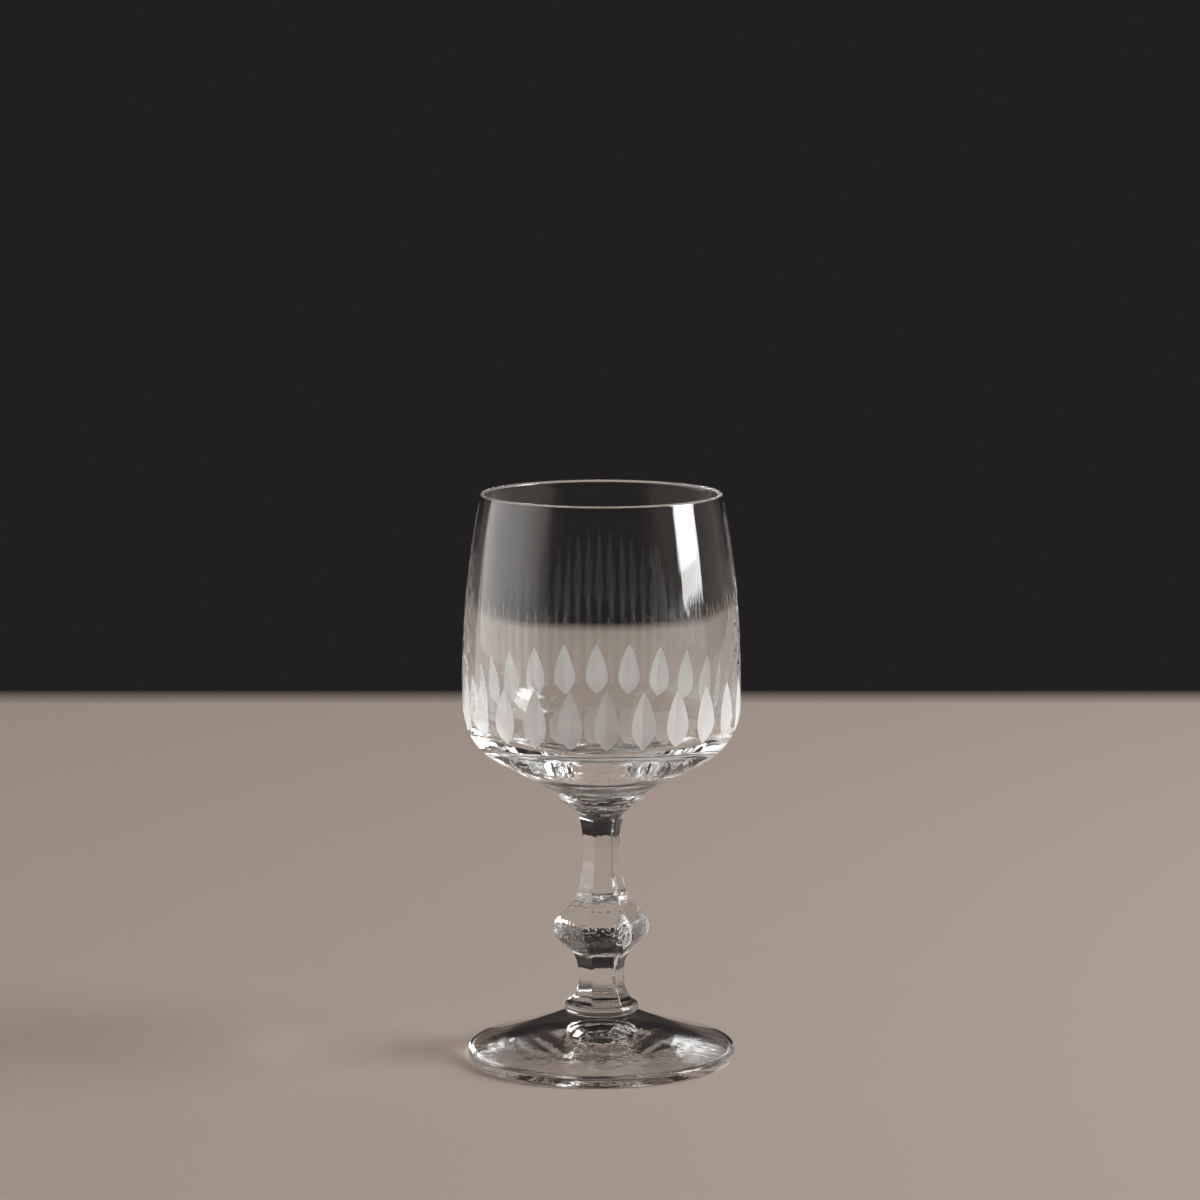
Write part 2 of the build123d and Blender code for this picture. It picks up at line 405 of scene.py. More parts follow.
def round_normal(tree, share):
    """The surface's direction, turned by a share towards straight out from the axis."""
    flatten = tree.nodes.new("ShaderNodeMapping")
    flatten.inputs["Scale"].default_value = (1, 1, 0)
    tree.links.new(place_on(tree), flatten.inputs["Vector"])
    outward = vector_on(tree, "NORMALIZE", flatten.outputs["Vector"])
    facing = vector_on(tree, "SCALE", outward, outer_or_inner(tree), socket="Scale")
    blend = tree.nodes.new("ShaderNodeMix")
    blend.data_type = "VECTOR"
    blend.inputs["Factor"].default_value = share
    own = tree.nodes.new("ShaderNodeNewGeometry").outputs["Normal"]
    tree.links.new(own, blend.inputs[VECTOR_A])
    tree.links.new(facing, blend.inputs[VECTOR_B])
    return blend.outputs[VECTOR_RESULT]


def ground_glass():
    finish, tree, shader = new_finish("ground_glass", Base_Color=GROUND_TONE, IOR=GLASS_IOR,
                                      Transmission_Weight=GROUND_TRANSMISSION)
    lines = noise_on(tree, scale=3200.0, stretch=(1, 1, 0.03), detail=2.0)
    roughness = between(tree, lines, NOISE_LOW, NOISE_HIGH, GROUND_SMOOTHEST, GROUND_ROUGHEST)
    tree.links.new(roughness, shader.inputs["Roughness"])
    normal = bump_on(tree, lines, depth=0.018, normal=round_normal(tree, GROUND_ROUNDING))
    tree.links.new(normal, shader.inputs["Normal"])
    return finish


def fused_glass():
    finish, _, _ = new_finish("fused_glass", Base_Color=(1, 1, 1, 1), IOR=1.0, Roughness=0.0,
                              Transmission_Weight=1.0)
    return finish


GROUND, FUSED = ground_glass(), fused_glass()
print("finishes:", GROUND.name, "and", FUSED.name)

# %% [markdown]
# ## A wedge
#
# A wedge is made of grids of points: rows along the half section, columns across the wedge. Each
# grid is turned into faces with their marks, and all of them become one mesh.

# %% Helpers for a wedge
class Wedge:
    """Points, in millimetres, faces and marks of one wedge."""

    def __init__(self):
        self.points, self.faces, self.worked, self.fused = [], [], [], []

    def add_grid(self, grid, fused_rows=(), worked_rows=()):
        """A grid of rows and columns of points, with the rows of faces that are marked."""
        rows, columns = grid.shape[:2]
        first = len(self.points)
        self.points.extend(grid.reshape(-1, 3))
        for row in range(rows - 1):
            for column in range(columns - 1):
                corner = first + row * columns + column
                self.faces.append((corner, corner + 1, corner + columns + 1, corner + columns))
                self.fused.append(row in fused_rows)
                self.worked.append(row in worked_rows)


def wedge_mesh(name, wedge):
    mesh = bpy.data.meshes.new(name)
    mesh.from_pydata((np.array(wedge.points) * MM).tolist(), [], wedge.faces)
    for mark in ("worked", "fused"):
        values = mesh.attributes.new(mark, "BOOLEAN", "FACE").data
        values.foreach_set("value", getattr(wedge, mark))
    return mesh


print("marks of a wedge: worked, fused")

# %% [markdown]
# ## From a wedge to a finished piece
#
# `make_piece` runs the tree on a wedge, bakes the result into a plain mesh, turns its faces
# outwards and marks the edges that should stay crisp. It also measures the piece, because a
# closed glass solid has no open edge.

# %% Helpers for pieces
WELD = 0.001 * MM


def close_and_measure(mesh):
    """Turns the faces outwards, and gives the number of open edges and the volume."""
    shape = bmesh.new()
    shape.from_mesh(mesh)
    bmesh.ops.recalc_face_normals(shape, faces=shape.faces)
    open_edges = sum(len(edge.link_faces) != 2 for edge in shape.edges)
    volume = shape.calc_volume()
    shape.to_mesh(mesh)
    shape.free()
    return open_edges, volume


def make_piece(node, wedge, copies, first_turn, crisp_angle, skin=POLISHED, worked=GROUND):
    piece = bpy.data.objects.new(node + "_glass", wedge_mesh(node, wedge))
    bpy.context.scene.collection.objects.link(piece)
    repeat = piece.modifiers.new("repeat", "NODES")
    repeat.node_group = REPEAT
    settings = {"Copies": copies, "First turn": radians(first_turn), "Weld": WELD,
                "Skin": skin, "Worked": worked, "Fused": FUSED}
    for name, value in settings.items():
        repeat[REPEAT_INPUTS[name]] = value
    evaluated = piece.evaluated_get(bpy.context.evaluated_depsgraph_get())
    whole = bpy.data.meshes.new_from_object(evaluated)
    piece.modifiers.clear()
    piece.data = whole
    whole.name = node + "_glass"
    open_edges, volume = close_and_measure(whole)
    whole.set_sharp_from_angle(angle=radians(crisp_angle))

    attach(piece, "root")
    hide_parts(node)
    triangles = sum(len(face.vertices) - 2 for face in whole.polygons)
    print(f"{node}: {triangles} triangles, {open_edges} open edges, {volume / MM**3:.1f} cubic mm")


print("a weld joins points closer than", WELD / MM, "mm")

# %% [markdown]
# ## Round pieces
#
# A round piece is a half section that is turned about the axis. Its wedge is a plain strip of
# columns, and the tree repeats it all the way round.

# %% Helpers for round pieces
ROUND_COPIES = 24
ROUND_COLUMNS = 6
ROUND_CRISP = 12.0
ROUND_ANGLES = np.linspace(0, 2 * pi / ROUND_COPIES, ROUND_COLUMNS + 1)


def turned_grid(section, angles):
    """The half section turned about the axis to each angle in radians."""
    radius, height = section[:, 0, None], section[:, 1, None]
    heights = np.broadcast_to(height, (len(section), len(angles)))
    return np.stack([radius * np.cos(angles), radius * np.sin(angles), heights], axis=2)


def make_round_piece(node, section, fused_rows, worked_rows=(), skin=POLISHED):
    wedge = Wedge()
    wedge.add_grid(turned_grid(section, ROUND_ANGLES), fused_rows, worked_rows)
    make_piece(node, wedge, ROUND_COPIES, 0.0, ROUND_CRISP, skin, worked=PRESSED)


print("round pieces have", ROUND_COPIES * ROUND_COLUMNS, "columns")

# %% [markdown]
# ## Foot
#
# The foot is a low dome, slightly hollow on top, with a rounded edge. Below, it rests on a narrow
# ring, and inside that ring the glass rises in a hollow cone with a round crown. Light that
# enters the top meets the underside at a flat angle and is mirrored there, which is why the foot
# looks dark between its bright rims. The cone decides what that mirror shows, and the pressed
# skin of the underside breaks it up a little.

# %% Foot
FOOT_RADIUS = 23.55
FOOT_HEIGHT = 8.1
FOOT_EDGE = 2.0
FOOT_DIP = 0.36
FOOT_TOP_ROUND = 0.73
FOOT_LOW_ROUND = 0.7
FOOT_RING_WIDTH = 0.8
FOOT_RING_ROUND = 0.3
FOOT_HOLLOW_ANGLE = 11.5
FOOT_CROWN_CURVE = 45.0
FOOT_COLLAR_RADIUS = 6.1
HOLLOW_STEPS = 12


def foot_dome(edge_top, collar):
    """The top of the foot, from its edge to the collar, hollow by the dip."""
    run, rise = np.subtract(collar, edge_top)
    dip_turn = 2 * atan2(FOOT_DIP, sqrt(rise**2 + run**2) / 2)
    start = atan2(rise, run) + dip_turn
    return arc(edge_top, collar, (cos(start), sin(start)), steps=40)


def foot_section():
    ring = FOOT_RADIUS - FOOT_LOW_ROUND - FOOT_RING_WIDTH
    slope = radians(FOOT_HOLLOW_ANGLE)
    crown_radius = FOOT_CROWN_CURVE * sin(slope)
    crown_edge = (crown_radius, (ring - crown_radius) * tan(slope))
    crown_top = (0.0, crown_edge[1] + FOOT_CROWN_CURVE * (1 - cos(slope)))
    print("hollow under the foot in mm:", round(crown_top[1], 2))
    edge_low, edge_top = (FOOT_RADIUS, 0), (FOOT_RADIUS, FOOT_EDGE)
    paths = [arc(crown_top, crown_edge, OUT, HOLLOW_STEPS),
             line(crown_edge, (ring, 0), HOLLOW_STEPS),
             line((ring, 0), edge_low, steps=4),
             line(edge_low, edge_top, steps=4),
             foot_dome(edge_top, (FOOT_COLLAR_RADIUS, FOOT_HEIGHT))]
    skin = soften(paths, [0, FOOT_RING_ROUND, FOOT_LOW_ROUND, FOOT_TOP_ROUND], steps=10)
    return np.concatenate([skin, [(0.0, FOOT_HEIGHT)]])


section = foot_section()
underside = range(2 * HOLLOW_STEPS)
make_round_piece("foot", section, fused_rows={len(section) - 2}, worked_rows=underside)

# %% [markdown]
# ## Stem outline
#
# The stem was pressed with six flats. Each height is a hexagon with slightly rounded corners, and
# the side outline says how far its flats stand from the axis: waist, knop and neck. At the very
# top the flats run out into a round flare, so the hexagon is cut by the circle of the blank there.

# %% Stem outline
STEM_SIDES = 6
STEM_TURN = 9.7
STEM_Z = 9.9
BOWL_COLLAR_Z = 44.0
HALF_SIDE = pi / STEM_SIDES
STEM_TOP_RADIUS = 4.751
KNOP_FLAT = 7.43
BASE, WAIST, KNOP_FOOT = (4.75, STEM_Z), (3.56, 14.4), (4.59, 18.9)
KNOP_LOW, KNOP_HIGH, KNOP_HEAD = (KNOP_FLAT, 21.85), (KNOP_FLAT, 24.4), (4.3, 27.95)
NECK, RUNOUT, STEM_TOP = (2.93, 37.6), (3.37, 42.2), (STEM_TOP_RADIUS, BOWL_COLLAR_Z)
CREASE_REACH = 0.6
UNCUT = 1000.0


def stem_outline():
    runout_curve = arc(NECK, RUNOUT, UP, steps=12)
    paths = [arc(WAIST, BASE, DOWN, steps=14)[::-1],
             arc(WAIST, KNOP_FOOT, UP, steps=14),
             line(KNOP_FOOT, KNOP_LOW, steps=4),
             line(KNOP_LOW, KNOP_HIGH, steps=4),
             line(KNOP_HIGH, KNOP_HEAD, steps=4),
             arc(NECK, KNOP_HEAD, DOWN, steps=26)[::-1],
             runout_curve,
             arc(RUNOUT, STEM_TOP, arrival(runout_curve), steps=28)]
    return soften(paths, [0, *[CREASE_REACH] * 4, 0, 0], steps=8)


def blank_radius(height):
    """The round blank that cuts the flats off near the top of the stem."""
    start = (RUNOUT[0] / cos(HALF_SIDE), RUNOUT[1])
    flare = arc(start, STEM_TOP, UP, steps=40)
    return np.interp(height, flare[:, 1], flare[:, 0], left=UNCUT)


outline = stem_outline()
print("stem outline:", len(outline), "heights from", outline[0, 1], "to", outline[-1, 1])

# %% [markdown]
# ## Stem
#
# One sixth of the stem, centred on a flat, is the wedge. Wedges lie along X, so a turn of -90
# degrees brings the first one to the camera's side.

# %% Stem wedge
TO_CAMERA = -90.0
FLAT_STEPS = 9
CORNER_STEPS = 8
CORNER_ROUND = 0.6
STEM_CRISP = 14.0


def hexagon_side(flat, rounding):
    """One side of a hexagon with rounded corners: distances out from the axis, and across."""
    centre = flat - rounding
    across = np.linspace(0, centre * tan(HALF_SIDE), FLAT_STEPS + 1)
    turn = np.linspace(0, HALF_SIDE, CORNER_STEPS + 1)[1:]
    half = np.concatenate([
        np.stack([np.full_like(across, flat), across], axis=1),
        np.stack([centre + rounding * np.cos(turn), across[-1] + rounding * np.sin(turn)], axis=1),
    ])
    return np.concatenate([half[:0:-1] * (1, -1), half])


def stem_grid(outline):
    rows = []
    for flat, height in outline:
        side = hexagon_side(flat, CORNER_ROUND)
        reach = np.linalg.norm(side, axis=1, keepdims=True)
        side = side * np.minimum(1, blank_radius(height) / reach)
        rows.append(np.concatenate([side, np.full((len(side), 1), height)], axis=1))
    return np.array(rows)


def with_end_discs(grid):
    """The grid with a disc on each end, closed on the axis."""
    flat_end = np.array((0, 0, 1))
    return np.concatenate([[grid[0] * flat_end], grid, [grid[-1] * flat_end]])


def make_six_sided_piece(node, grid):
    wedge = Wedge()
    closed = with_end_discs(grid)
    wedge.add_grid(closed, fused_rows={0, len(closed) - 2})
    make_piece(node, wedge, STEM_SIDES, STEM_TURN + TO_CAMERA, STEM_CRISP, PRESSED)


stem_rows = stem_grid(outline)
make_six_sided_piece("stem", stem_rows)

# %% [markdown]
# ## Foot collar
#
# Between foot and stem sits a round button of glass. Only the ledge outside the stem's hexagon
# has a surface, so the button's top is divided along that hexagon: the wedge has the stem's
# columns, and its inner part is fused.

# %% Foot collar
FOOT_COLLAR_BULGE = 0.45


def foot_collar_grid():
    hexagon = stem_rows[0]
    columns = np.arctan2(hexagon[:, 1], hexagon[:, 0])
    lower, upper = (FOOT_COLLAR_RADIUS, FOOT_HEIGHT), (FOOT_COLLAR_RADIUS, STEM_Z)
    lean = pi - 2 * atan2((STEM_Z - FOOT_HEIGHT) / 2, FOOT_COLLAR_BULGE)
    side = arc(lower, upper, (sin(lean), cos(lean)), steps=24)
    return np.concatenate([turned_grid(side, columns), [hexagon]])


make_six_sided_piece("foot_collar", foot_collar_grid())

# %% [markdown]
# ## Bowl collar
#
# Under the bowl a small cup of glass tapers down to the stem. Its band is slightly swollen, and
# the line where the band meets the bowl is one of the few dark lines that draw the glass.

# %% Bowl collar
BOWL_Z = 47.43
BOWL_SEAT_RADIUS = 7.8
COLLAR_TAPER_HEIGHT = 1.88
COLLAR_BAND_STEP = 0.75
COLLAR_BAND_SWELL = 0.16
COLLAR_CREASE = 0.25


def bowl_collar_section():
    band_base = np.array((BOWL_SEAT_RADIUS - COLLAR_BAND_STEP, BOWL_COLLAR_Z + COLLAR_TAPER_HEIGHT))
    seat = np.array((BOWL_SEAT_RADIUS, BOWL_Z))
    run, rise = seat - band_base
    lean = atan2(rise, run) - 2 * atan2(COLLAR_BAND_SWELL, sqrt(run**2 + rise**2) / 2)
    band = arc(band_base, seat, (cos(lean), sin(lean)), steps=12)
    taper = line((STEM_TOP_RADIUS, BOWL_COLLAR_Z), band_base, steps=6)
    skin = soften([taper, band], [COLLAR_CREASE], steps=6)
    return np.concatenate([[(0.0, BOWL_COLLAR_Z)], skin, [(0.0, BOWL_Z)]])


section = bowl_collar_section()
make_round_piece("bowl_collar", section, fused_rows={0, len(section) - 2}, skin=PRESSED)

# %% [markdown]
# ## Bowl, outer curve
#
# Outside, the bowl is a cone, a round shoulder, a straight belt and a wall that closes in a
# little to the mouth. The cuts need the bowl's radius at any height, so the curve is a function.

# %% Bowl sizes and outer curve
UNDERSIDE_ANGLE = 28.6
SHOULDER_RADIUS = 11.0
BOWL_RADIUS = 24.36
BELT_HEIGHT = 3.0
WALL_HEIGHT = 34.0
MOUTH_RADIUS = 21.1
LIP_WALL = 0.86
SLOPE = radians(UNDERSIDE_ANGLE)
SHOULDER_START = BOWL_RADIUS - SHOULDER_RADIUS * (1 - sin(SLOPE))
SHOULDER_START_Z = BOWL_Z + (SHOULDER_START - BOWL_SEAT_RADIUS) * tan(SLOPE)
BELT_Z = SHOULDER_START_Z + SHOULDER_RADIUS * cos(SLOPE)
BELT_TOP_Z = BELT_Z + BELT_HEIGHT
RIM_Z = BELT_TOP_Z + WALL_HEIGHT
LIP_Z = RIM_Z - LIP_WALL / 2
CLOSING = BOWL_RADIUS - MOUTH_RADIUS
WALL_CURVE = ((LIP_Z - BELT_TOP_Z) ** 2 / CLOSING + CLOSING) / 2


def outer_radius(height):
    if height < SHOULDER_START_Z:
        return BOWL_SEAT_RADIUS + (height - BOWL_Z) / tan(SLOPE)
    if height < BELT_Z:
        return BOWL_RADIUS - SHOULDER_RADIUS + sqrt(SHOULDER_RADIUS**2 - (BELT_Z - height) ** 2)
    if height < BELT_TOP_Z:
        return BOWL_RADIUS
    return BOWL_RADIUS - WALL_CURVE + sqrt(WALL_CURVE**2 - (height - BELT_TOP_Z) ** 2)


print("belt from", round(BELT_Z, 2), "to", round(BELT_TOP_Z, 2), "rim at", round(RIM_Z, 2))

# %% [markdown]
# ## The petals
#
# Each petal is a mitre cut: a wheel with a V edge stood upright and was sunk into the belt. Where
# the wheel leaves the bowl's surface the petal has its outline, so the outline is found by
# halving: we look, at each height, for the distance from the petal's middle at which both
# surfaces meet.

# %% The petal's outline
PETAL_COUNT = 24
PETAL_TURN = 2.2
PETAL_DEPTH = 0.9
PETAL_DROP = 2.5
WHEEL_RADIUS = 40.0
WHEEL_ANGLE = 142.5
WHEEL_X = BOWL_RADIUS - PETAL_DEPTH + WHEEL_RADIUS
WHEEL_Z = BELT_Z - PETAL_DROP
HALVINGS = 50
ABOVE_PETALS = RIM_Z - 10
BESIDE_PETAL = 4.0


def wheel_surface(height, across):
    wheel = WHEEL_RADIUS - across / tan(radians(WHEEL_ANGLE / 2))
    return WHEEL_X - sqrt(wheel**2 - (height - WHEEL_Z) ** 2)


def is_cut(height, across):
    """Whether the wheel reaches into the bowl, at a height and a distance across the petal."""
    return sqrt(outer_radius(height) ** 2 - across**2) > wheel_surface(height, across)


def halve(inside, outside, is_inside):
    for _ in range(HALVINGS):
        middle = (inside + outside) / 2
        if is_inside(middle):
            inside = middle
        else:
            outside = middle
    return inside


PETAL_TOP = halve(BELT_Z, ABOVE_PETALS, lambda height: is_cut(height, 0))
PETAL_FOOT = halve(BELT_Z, SHOULDER_START_Z, lambda height: is_cut(height, 0))


def petal_half_width(height):
    if not PETAL_FOOT < height < PETAL_TOP:
        return 0.0
    return halve(0.0, BESIDE_PETAL, lambda across: is_cut(height, across))


print("petal from", round(PETAL_FOOT, 2), "to", round(PETAL_TOP, 2),
      "half width in its middle", round(petal_half_width((PETAL_FOOT + PETAL_TOP) / 2), 2))

# %% [markdown]
# ## Bowl, outside
#
# The wedge is half a petal wide and is mirrored later. Its outer skin starts at the petal's
# outline, and the cut is a grid of its own that ends on the same outline, so that the weld joins
# both. Rows are closer together towards the petal's tips, where its outline turns fast.

# %% Bowl wedge, outside
HALF_PETAL = pi / PETAL_COUNT
SIDE_STEPS = 12
CUT_STEPS = 4
CONE_ROWS, SHOULDER_ROWS, PETAL_ROWS, WALL_ROWS = 6, 12, 31, 30
HAIR = 1e-6


def outer_heights():
    cone = np.linspace(BOWL_Z, SHOULDER_START_Z, CONE_ROWS)
    low = asin((BELT_Z - SHOULDER_START_Z) / SHOULDER_RADIUS)
    high = asin((BELT_Z - PETAL_FOOT) / SHOULDER_RADIUS)
    shoulder = BELT_Z - SHOULDER_RADIUS * np.sin(np.linspace(low, high, SHOULDER_ROWS))
    share = (1 - np.cos(np.linspace(0, pi, PETAL_ROWS))) / 2
    petal = PETAL_FOOT + share * (PETAL_TOP - PETAL_FOOT)
    wall = np.linspace(PETAL_TOP, LIP_Z, WALL_ROWS)
    return np.concatenate([cone, shoulder[1:], petal[1:], wall[1:]])


def outside_grid(heights):
    rows = []
    for height in heights:
        radius, half = outer_radius(height), petal_half_width(height)
        angles = np.linspace(asin(half / radius), HALF_PETAL, SIDE_STEPS + 1)
        rows.append(np.stack([radius * np.cos(angles), radius * np.sin(angles),
                              np.full_like(angles, height)], axis=1))
    return np.array(rows)


def cut_grid(heights):
    rows = []
    for height in heights:
        half = petal_half_width(height)
        across = np.linspace(0, half, CUT_STEPS + 1)
        out = np.array([wheel_surface(height, distance) for distance in across])
        out[-1] = sqrt(outer_radius(height) ** 2 - half**2)
        rows.append(np.stack([out, across, np.full_like(across, height)], axis=1))
    return np.array(rows)


heights = outer_heights()
petal_heights = heights[(heights > PETAL_FOOT - HAIR) & (heights < PETAL_TOP + HAIR)]
outside = outside_grid(heights)
cut = cut_grid(petal_heights)
print("outside rows:", len(heights), "of which", len(petal_heights), "in the petal")

# %% [markdown]
# ## Bowl, inside
#
# Inside, the bowl has a wall of one large curve, a round corner and a thick curved floor. The
# corner's circle touches the wall's and the floor's, so its centre lies at a known distance from
# the centres of both. The thick floor is what bends everything seen through it so strongly.

# %% Inside of the bowl
WIDEST_WALL = 1.81
WIDEST_RISE = 8.0
INNER_CURVE = 100.0
INNER_CORNER = 5.5
FLOOR_THICKNESS = 7.6
FLOOR_CURVE = 80.0


def between_circles(first, first_reach, second, second_reach):
    """The point, on the outer side, at given reaches from a first and a second centre."""
    apart = np.linalg.norm(second - first)
    along = (second - first) / apart
    run = (apart**2 + first_reach**2 - second_reach**2) / (2 * apart)
    aside = sqrt(first_reach**2 - run**2)
    return first + along * run + aside * np.array((along[1], -along[0]))


def inner_section():
    """From the outside of the lip over its round edge, and down the inside to the axis."""
    widest = np.array((BOWL_RADIUS - WIDEST_WALL, BELT_TOP_Z + WIDEST_RISE))
    bottom = np.array((0.0, BOWL_Z + FLOOR_THICKNESS))
    wall_centre, floor_centre = widest - (INNER_CURVE, 0), bottom + (0, FLOOR_CURVE)
    wall_reach, floor_reach = INNER_CURVE - INNER_CORNER, FLOOR_CURVE - INNER_CORNER
    corner = between_circles(wall_centre, wall_reach, floor_centre, floor_reach)
    across, below = (corner - wall_centre) / wall_reach, (corner - floor_centre) / floor_reach
    wall_end, floor_end = corner + INNER_CORNER * across, corner + INNER_CORNER * below
    lip_out, lip_in = (MOUTH_RADIUS, LIP_Z), (MOUTH_RADIUS - LIP_WALL, LIP_Z)
    lip_top = (MOUTH_RADIUS - LIP_WALL / 2, RIM_Z)
    paths = [arc(lip_out, lip_top, UP, steps=10),
             arc(lip_in, lip_top, UP, steps=10)[::-1],
             arc(widest, lip_in, UP, steps=20)[::-1],
             arc(widest, wall_end, DOWN, steps=16),
             arc(wall_end, floor_end, (across[1], -across[0]), steps=16),
             arc(bottom, floor_end, OUT, steps=12)[::-1]]
    print("inner corner from", np.round(wall_end, 2), "to", np.round(floor_end, 2))
    return np.concatenate([paths[0]] + [path[1:] for path in paths[1:]])


half_angles = np.linspace(0, HALF_PETAL, SIDE_STEPS + 1)
inside = turned_grid(inner_section(), half_angles)
print("inside rows:", len(inside))

# %% [markdown]
# ## Bowl
#
# The seat, the outside and the inside make one skin from the axis to the axis. Skin and cut are
# added together with their mirror images, which gives one whole petal, and the tree repeats it.

# %% Bowl
BOWL_CRISP = 9.0


def mirrored(grid):
    return grid[:, ::-1] * (1, -1, 1)


seat = turned_grid(np.array([(0.0, BOWL_Z), (BOWL_SEAT_RADIUS, BOWL_Z)]), half_angles)
skin = np.concatenate([seat, outside[1:], inside[1:]])
wedge = Wedge()
for grid, fused_rows, worked_rows in ((skin, {0}, ()), (cut, (), range(len(cut)))):
    wedge.add_grid(grid, fused_rows, worked_rows)
    wedge.add_grid(mirrored(grid), fused_rows, worked_rows)
make_piece("bowl", wedge, PETAL_COUNT, PETAL_TURN + TO_CAMERA, BOWL_CRISP)

# %% [markdown]
# ## Floor
#
# Glass is drawn by what stands around it. The floor is plain, pale and warm, and it ends in a
# soft line behind the glass, with darkness above, so that the wall of the bowl shows a dark upper
# half and a pale lower half. It also fades out in front, just outside the picture, because the
# foot mirrors what lies there and would lose its dark face.

# %% Floor
FLOOR_BACK = 0.386
FLOOR_FADE = 0.012
FLOOR_NEAR = -0.095
FLOOR_NEAR_FADE = 0.03
FLOOR_FRONT = FLOOR_NEAR - FLOOR_NEAR_FADE
FLOOR_END = FLOOR_BACK + FLOOR_FADE
FLOOR_SIDE = 0.3
PALE_TONE = (0.42, 0.345, 0.30, 1)
FADED_TONE = (0.015, 0.013, 0.014, 1)


def floor_finish():
    finish, tree, shader = new_finish("pale_floor", Roughness=1.0, Specular_IOR_Level=0.0)
    split = tree.nodes.new("ShaderNodeSeparateXYZ")
    tree.links.new(place_on(tree), split.inputs[0])
    far = between(tree, split.outputs["Y"], FLOOR_BACK - FLOOR_FADE, FLOOR_END)
    near = between(tree, split.outputs["Y"], FLOOR_NEAR, FLOOR_FRONT)
    tone = tree.nodes.new("ShaderNodeMix")
    tone.data_type = "RGBA"
    tone.inputs["A"].default_value = PALE_TONE
    tone.inputs["B"].default_value = FADED_TONE
    tree.links.new(math_on(tree, "MAXIMUM", far, near), tone.inputs["Factor"])
    tree.links.new(tone.outputs["Result"], shader.inputs["Base Color"])
    return finish


def make_floor():
    corners = [(-FLOOR_SIDE, FLOOR_FRONT), (FLOOR_SIDE, FLOOR_FRONT),
               (FLOOR_SIDE, FLOOR_END), (-FLOOR_SIDE, FLOOR_END)]
    mesh = bpy.data.meshes.new("floor")
    mesh.from_pydata([(x, y, 0.0) for x, y in corners], [], [(0, 1, 2, 3)])
    mesh.materials.append(floor_finish())
    floor = bpy.data.objects.new("floor", mesh)
    bpy.context.scene.collection.objects.link(floor)


make_floor()
print("floor ends", FLOOR_BACK, "m behind the glass")

# %% [markdown]
# ## Surroundings
#
# The surroundings are dark where the camera, a sharp reflection or a view through clear glass
# meets them. All other light meets a pale, even glow, so the floor and the ground petals are lit
# softly from every side. The Light Path node tells the two apart.

# %% Surroundings
GLOW_TONE = (1.0, 0.98, 0.96, 1)
GLOW_STRENGTH = 0.4
DARK_TONE = (0.0155, 0.0135, 0.0142, 1)


def opposite(tree, value):
    """1 for 0, and 0 for 1 or more."""
    return between(tree, value, 0.0, 1.0, to_low=1.0, to_high=0.0)


def background(tree, tone, strength):
    plain = tree.nodes.new("ShaderNodeBackground")
    plain.inputs["Color"].default_value = tone
    plain.inputs["Strength"].default_value = strength
    return plain.outputs[0]


def make_surroundings():
    world = bpy.data.worlds.new("surroundings")
    bpy.context.scene.world = world
    world.use_nodes = True
    world.cycles.sampling_method = "NONE"
    tree = world.node_tree
    tree.nodes.clear()
    rays = tree.nodes.new("ShaderNodeLightPath")
    seen = rays.outputs["Is Camera Ray"]
    for kind in ("Is Glossy Ray", "Is Transmission Ray"):
        sharp = math_on(tree, "MULTIPLY", rays.outputs[kind], rays.outputs["Is Singular Ray"])
        seen = math_on(tree, "MAXIMUM", seen, sharp)
    seen = math_on(tree, "MULTIPLY", seen, opposite(tree, rays.outputs["Diffuse Depth"]))
    choose = tree.nodes.new("ShaderNodeMixShader")
    tree.links.new(seen, choose.inputs["Fac"])
    tree.links.new(background(tree, GLOW_TONE, GLOW_STRENGTH), choose.inputs[1])
    tree.links.new(background(tree, DARK_TONE, 1.0), choose.inputs[2])
    sky = tree.nodes.new("ShaderNodeOutputWorld")
    tree.links.new(choose.outputs[0], sky.inputs["Surface"])


make_surroundings()
print("glow of the surroundings:", GLOW_STRENGTH)

# %% [markdown]
# ## Soft panels
#
# A lamp in glass is seen as a shape, so each one is an upright panel with soft edges where its
# reflection should end softly. A light's own nodes can do that: they multiply its strength by a
# share that depends on the place on the panel, or on the way that the light has taken.

# %% Helpers for lamps
LAMP_DISTANCE = 0.95
UPRIGHT = 90.0


def make_lamp(name, bearing, width, low, high, radiance):
    """An upright panel that faces the glass, at a bearing in degrees to the camera's right."""
    lamp = bpy.data.lights.new(name, "AREA")
    lamp.shape = "RECTANGLE"
    lamp.size, lamp.size_y = width, high - low
    lamp.energy = radiance * pi * width * (high - low)
    lamp.use_nodes = True
    holder = bpy.data.objects.new(name, lamp)
    bpy.context.scene.collection.objects.link(holder)
    turn = radians(bearing)
    holder.location = (LAMP_DISTANCE * sin(turn), -LAMP_DISTANCE * cos(turn), (low + high) / 2)
    holder.rotation_euler = (radians(UPRIGHT), 0, turn)
    print(f"{name}: {width} by {high - low:.2f} m, {lamp.energy:.1f} W")
    return lamp


def dim_lamp(lamp, share):
    """Multiplies a lamp's light by a share, on top of other shares."""
    strength = lamp.node_tree.nodes["Emission"].inputs["Strength"]
    if strength.is_linked:
        share = math_on(lamp.node_tree, "MULTIPLY", share, strength.links[0].from_socket)
    lamp.node_tree.links.new(share, strength)


def fade_lamp(lamp, axis, dark, full):
    """Fades a panel along its width X or its height Y, from a dark place to a full one."""
    tree = lamp.node_tree
    split = tree.nodes.new("ShaderNodeSeparateXYZ")
    panel = tree.nodes.new("ShaderNodeNewGeometry")
    tree.links.new(panel.outputs["Parametric"], split.inputs[0])
    dim_lamp(lamp, between(tree, split.outputs[axis], dark, full))


print("lamps stand", LAMP_DISTANCE, "m from the glass")

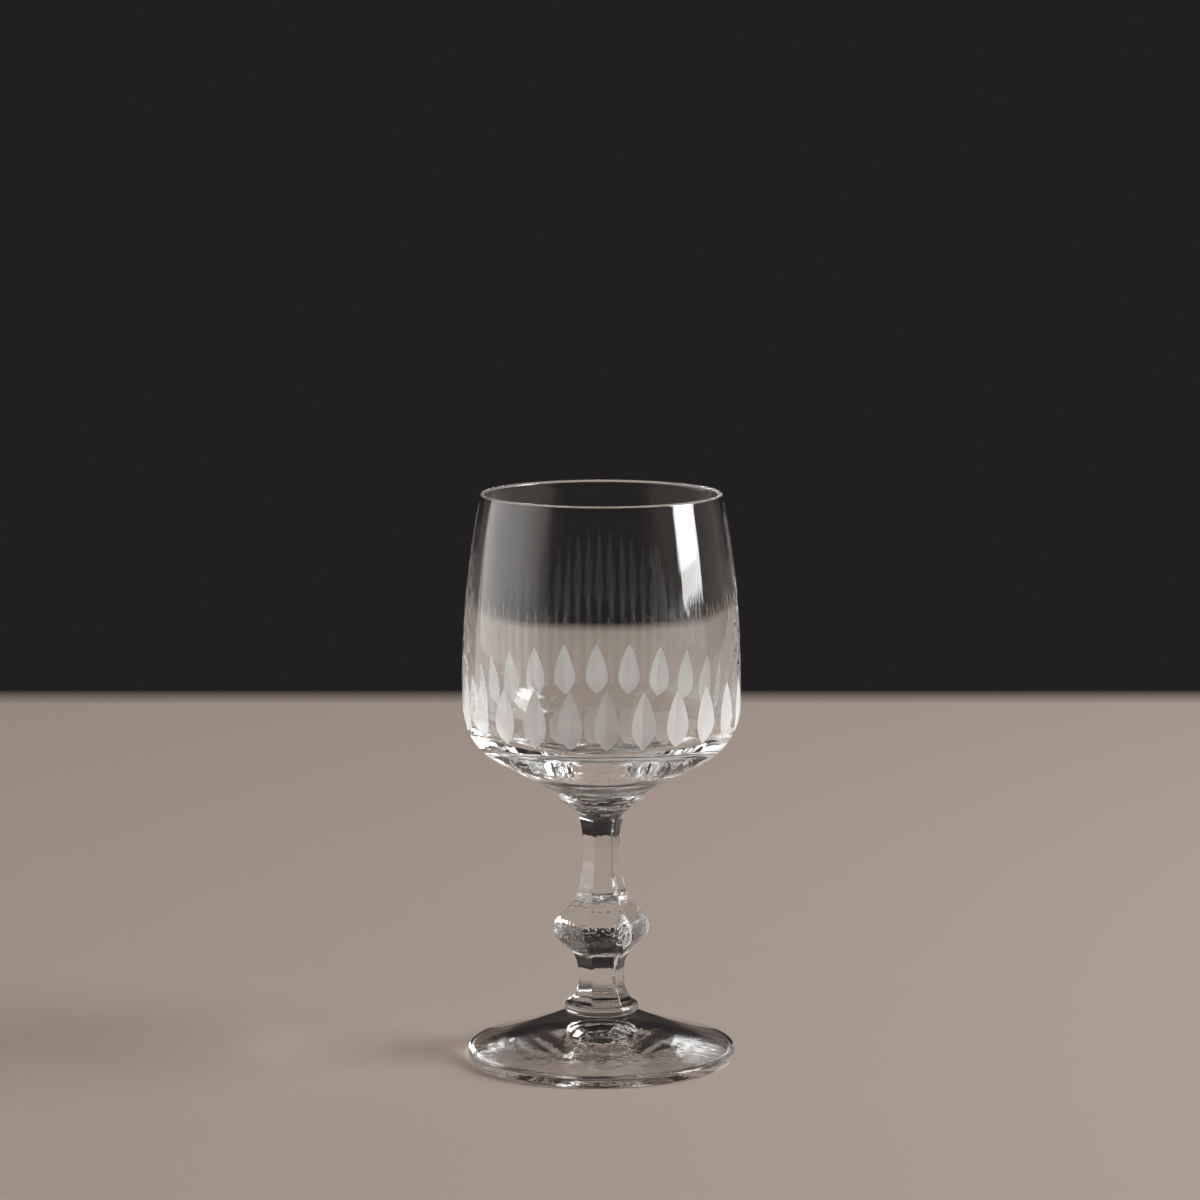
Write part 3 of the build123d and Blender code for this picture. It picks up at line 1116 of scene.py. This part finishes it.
# %% [markdown]
# ## Lamps
#
# Three panels stand at the sides. A broad dim one on the left and a narrow bright one on the
# right are the two reflections in the bowl, and a small wing behind the right one brightens the
# right edges. The left panel fades towards the camera, so its reflection has a soft inner edge,
# and the right strip fades at its lower end.
#
# Seen from the right, the left panel would stand behind the bowl as a white patch, although the
# camera doesn't show the panel itself. So it is left out of what is seen straight through the
# glass.

# %% Lamps
def hide_behind_glass(lamp):
    """Leaves a lamp out of what is seen straight through the glass, but not of reflections.

    A ray that is back in the open air has passed an even number of surfaces.
    """
    tree = lamp.node_tree
    rays = tree.nodes.new("ShaderNodeLightPath")
    passed = rays.outputs["Transmission Depth"]
    in_glass = tree.nodes.new("ShaderNodeMath")
    in_glass.operation = "PINGPONG"
    in_glass.inputs[1].default_value = 1.0
    tree.links.new(passed, in_glass.inputs[0])
    in_air = opposite(tree, in_glass.outputs[0])
    through = math_on(tree, "MULTIPLY", in_air, between(tree, passed, 0.0, 2.0))
    for kind in ("Glossy Depth", "Diffuse Depth"):
        through = math_on(tree, "MULTIPLY", through, opposite(tree, rays.outputs[kind]))
    dim_lamp(lamp, opposite(tree, through))


left_panel = make_lamp("left_panel", bearing=-83.5, width=1.8, low=-0.3, high=0.36, radiance=1.3)
hide_behind_glass(left_panel)
fade_lamp(left_panel, "X", dark=0.905, full=0.54)
right_strip = make_lamp("right_strip", bearing=83.3, width=0.4, low=0.075, high=0.95, radiance=13.0)
fade_lamp(right_strip, "Y", dark=0.0, full=0.035)
make_lamp("right_wing", bearing=105.0, width=0.4, low=0.3, high=0.8, radiance=2.0)

# %% [markdown]
# ## Camera
#
# The camera was worked out from the ellipses of the rim and the foot: it stands about 0.7 m away,
# a little above the glass, with a long lens. Light crosses many walls of glass on its way to the
# camera, so it may bounce more often than usual, and sharp reflections stay sharp.

# %% Camera
CAMERA_PLACE = (-0.00026, -0.680, 0.177)
CAMERA_PITCH = 8.02
FOCAL_PIXELS = 3946
IMAGE_PIXELS = 1200
SENSOR = 36.0
CLIP_NEAR, CLIP_FAR = 0.01, 20
LIGHT_BOUNCES = 40


def make_camera():
    lens = bpy.data.cameras.new("camera")
    lens.sensor_width = SENSOR
    lens.lens = SENSOR * FOCAL_PIXELS / IMAGE_PIXELS
    lens.clip_start, lens.clip_end = CLIP_NEAR, CLIP_FAR
    camera = bpy.data.objects.new("camera", lens)
    camera.location = CAMERA_PLACE
    camera.rotation_euler = (radians(UPRIGHT - CAMERA_PITCH), 0, 0)
    bpy.context.scene.collection.objects.link(camera)
    bpy.context.scene.camera = camera


make_camera()
bpy.context.scene.view_settings.view_transform = "Standard"
bpy.context.scene.cycles.max_bounces = LIGHT_BOUNCES
bpy.context.scene.cycles.transmission_bounces = LIGHT_BOUNCES
bpy.context.scene.cycles.glossy_bounces = LIGHT_BOUNCES
bpy.context.scene.cycles.blur_glossy = 0.0
print("lens in mm:", round(bpy.context.scene.camera.data.lens, 1))
